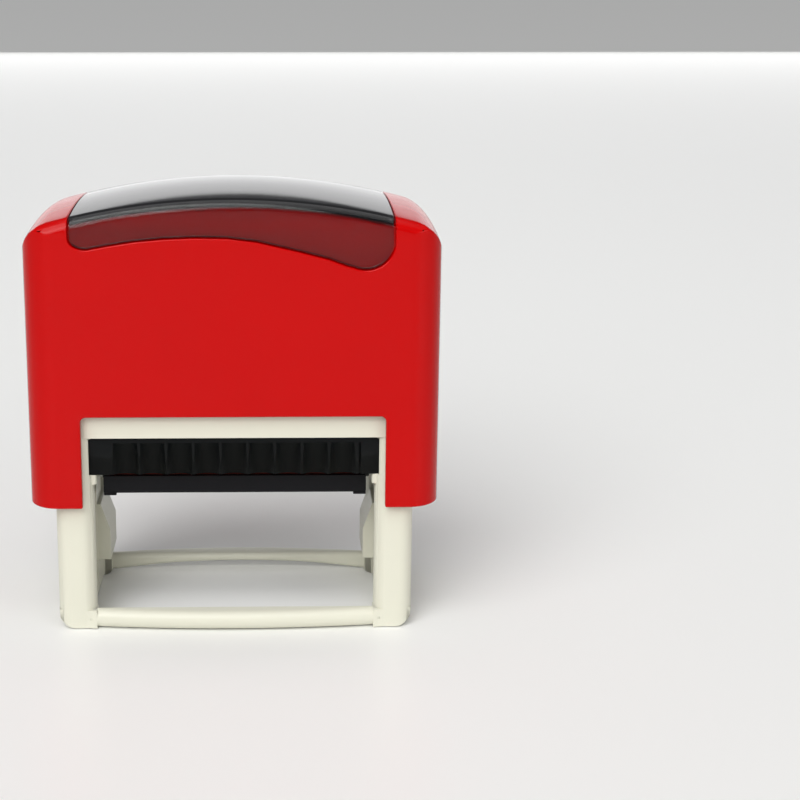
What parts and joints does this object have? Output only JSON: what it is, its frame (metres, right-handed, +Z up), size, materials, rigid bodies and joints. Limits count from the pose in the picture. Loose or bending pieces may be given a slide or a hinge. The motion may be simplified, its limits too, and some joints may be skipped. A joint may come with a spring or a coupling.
{
  "type": "self-inking hand stamp",
  "caption": "Self-inking stamp: pressing the arched cap against its spring turns the print die from the ink pad down to the paper inside an open base frame.",
  "frame": {"origin": "centre of the base footprint, on the table plane", "axes": "+X right along the stamp's length, +Y to its back, +Z up; front is -Y"},
  "size_m": [0.092, 0.044, 0.1],
  "materials": {
    "cap_red": "glossy moulded red ABS",
    "window_smoke": "smoked clear plastic",
    "card_black": "printed black card",
    "button_red": "glossy moulded red plastic",
    "steel": "bright steel",
    "yoke_red": "satin moulded red plastic",
    "frame_cream": "satin moulded cream plastic",
    "drawer_black": "glossy moulded black plastic",
    "pad_felt": "felt soaked in red ink",
    "holder_black": "satin moulded black plastic",
    "foam": "closed-cell foam tape",
    "die_rubber": "cut rubber stained with ink"
  },
  "bodies": {
    "base": {"frame": "frame_cream", "ink_drawer": "drawer_black", "ink_pad": "pad_felt", "spring_cup": "frame_cream"},
    "cap_assembly": {"cap": "cap_red", "yoke": "yoke_red", "index_card": "card_black", "main_spring": "steel", "lock_spring_left": "steel", "lock_spring_right": "steel"},
    "window": {"index_window": "window_smoke"},
    "button_left": {"lock_button_left": "button_red"},
    "button_right": {"lock_button_right": "button_red"},
    "die_carrier": {"die_holder": "holder_black", "foam_tape": "foam", "text_plate": "die_rubber", "axle_pin_left": "steel", "axle_pin_right": "steel", "guide_pin_left": "steel", "guide_pin_right": "steel"}
  },
  "joints": [
    {"name": "cap_press", "type": "slide", "parent": "base", "child": "cap_assembly", "axis": [0, 0, -1], "range_m": [0, 0.028], "stiffness_N_per_m": 500, "springref_m": -0.012, "deforming": ["main_spring"]},
    {"name": "die_flip", "type": "hinge", "parent": "cap_assembly", "child": "die_carrier", "pos_m": [0, 0, 0.032], "axis": [1, 0, 0], "range_deg": [0, 180]},
    {"name": "window_lift", "type": "slide", "parent": "cap_assembly", "child": "window", "axis": [0, 0, 1], "range_m": [0, 0.015]},
    {"name": "lock_left", "type": "slide", "parent": "cap_assembly", "child": "button_left", "axis": [1, 0, 0], "range_m": [0, 0.0014], "stiffness_N_per_m": 400, "springref_m": -0.001},
    {"name": "lock_right", "type": "slide", "parent": "cap_assembly", "child": "button_right", "axis": [-1, 0, 0], "range_m": [0, 0.0014], "stiffness_N_per_m": 400, "springref_m": -0.001}
  ],
  "couplings": [
    {"joint": "die_flip", "follows": "cap_press", "rad_per_m": 112.2}
  ]
}
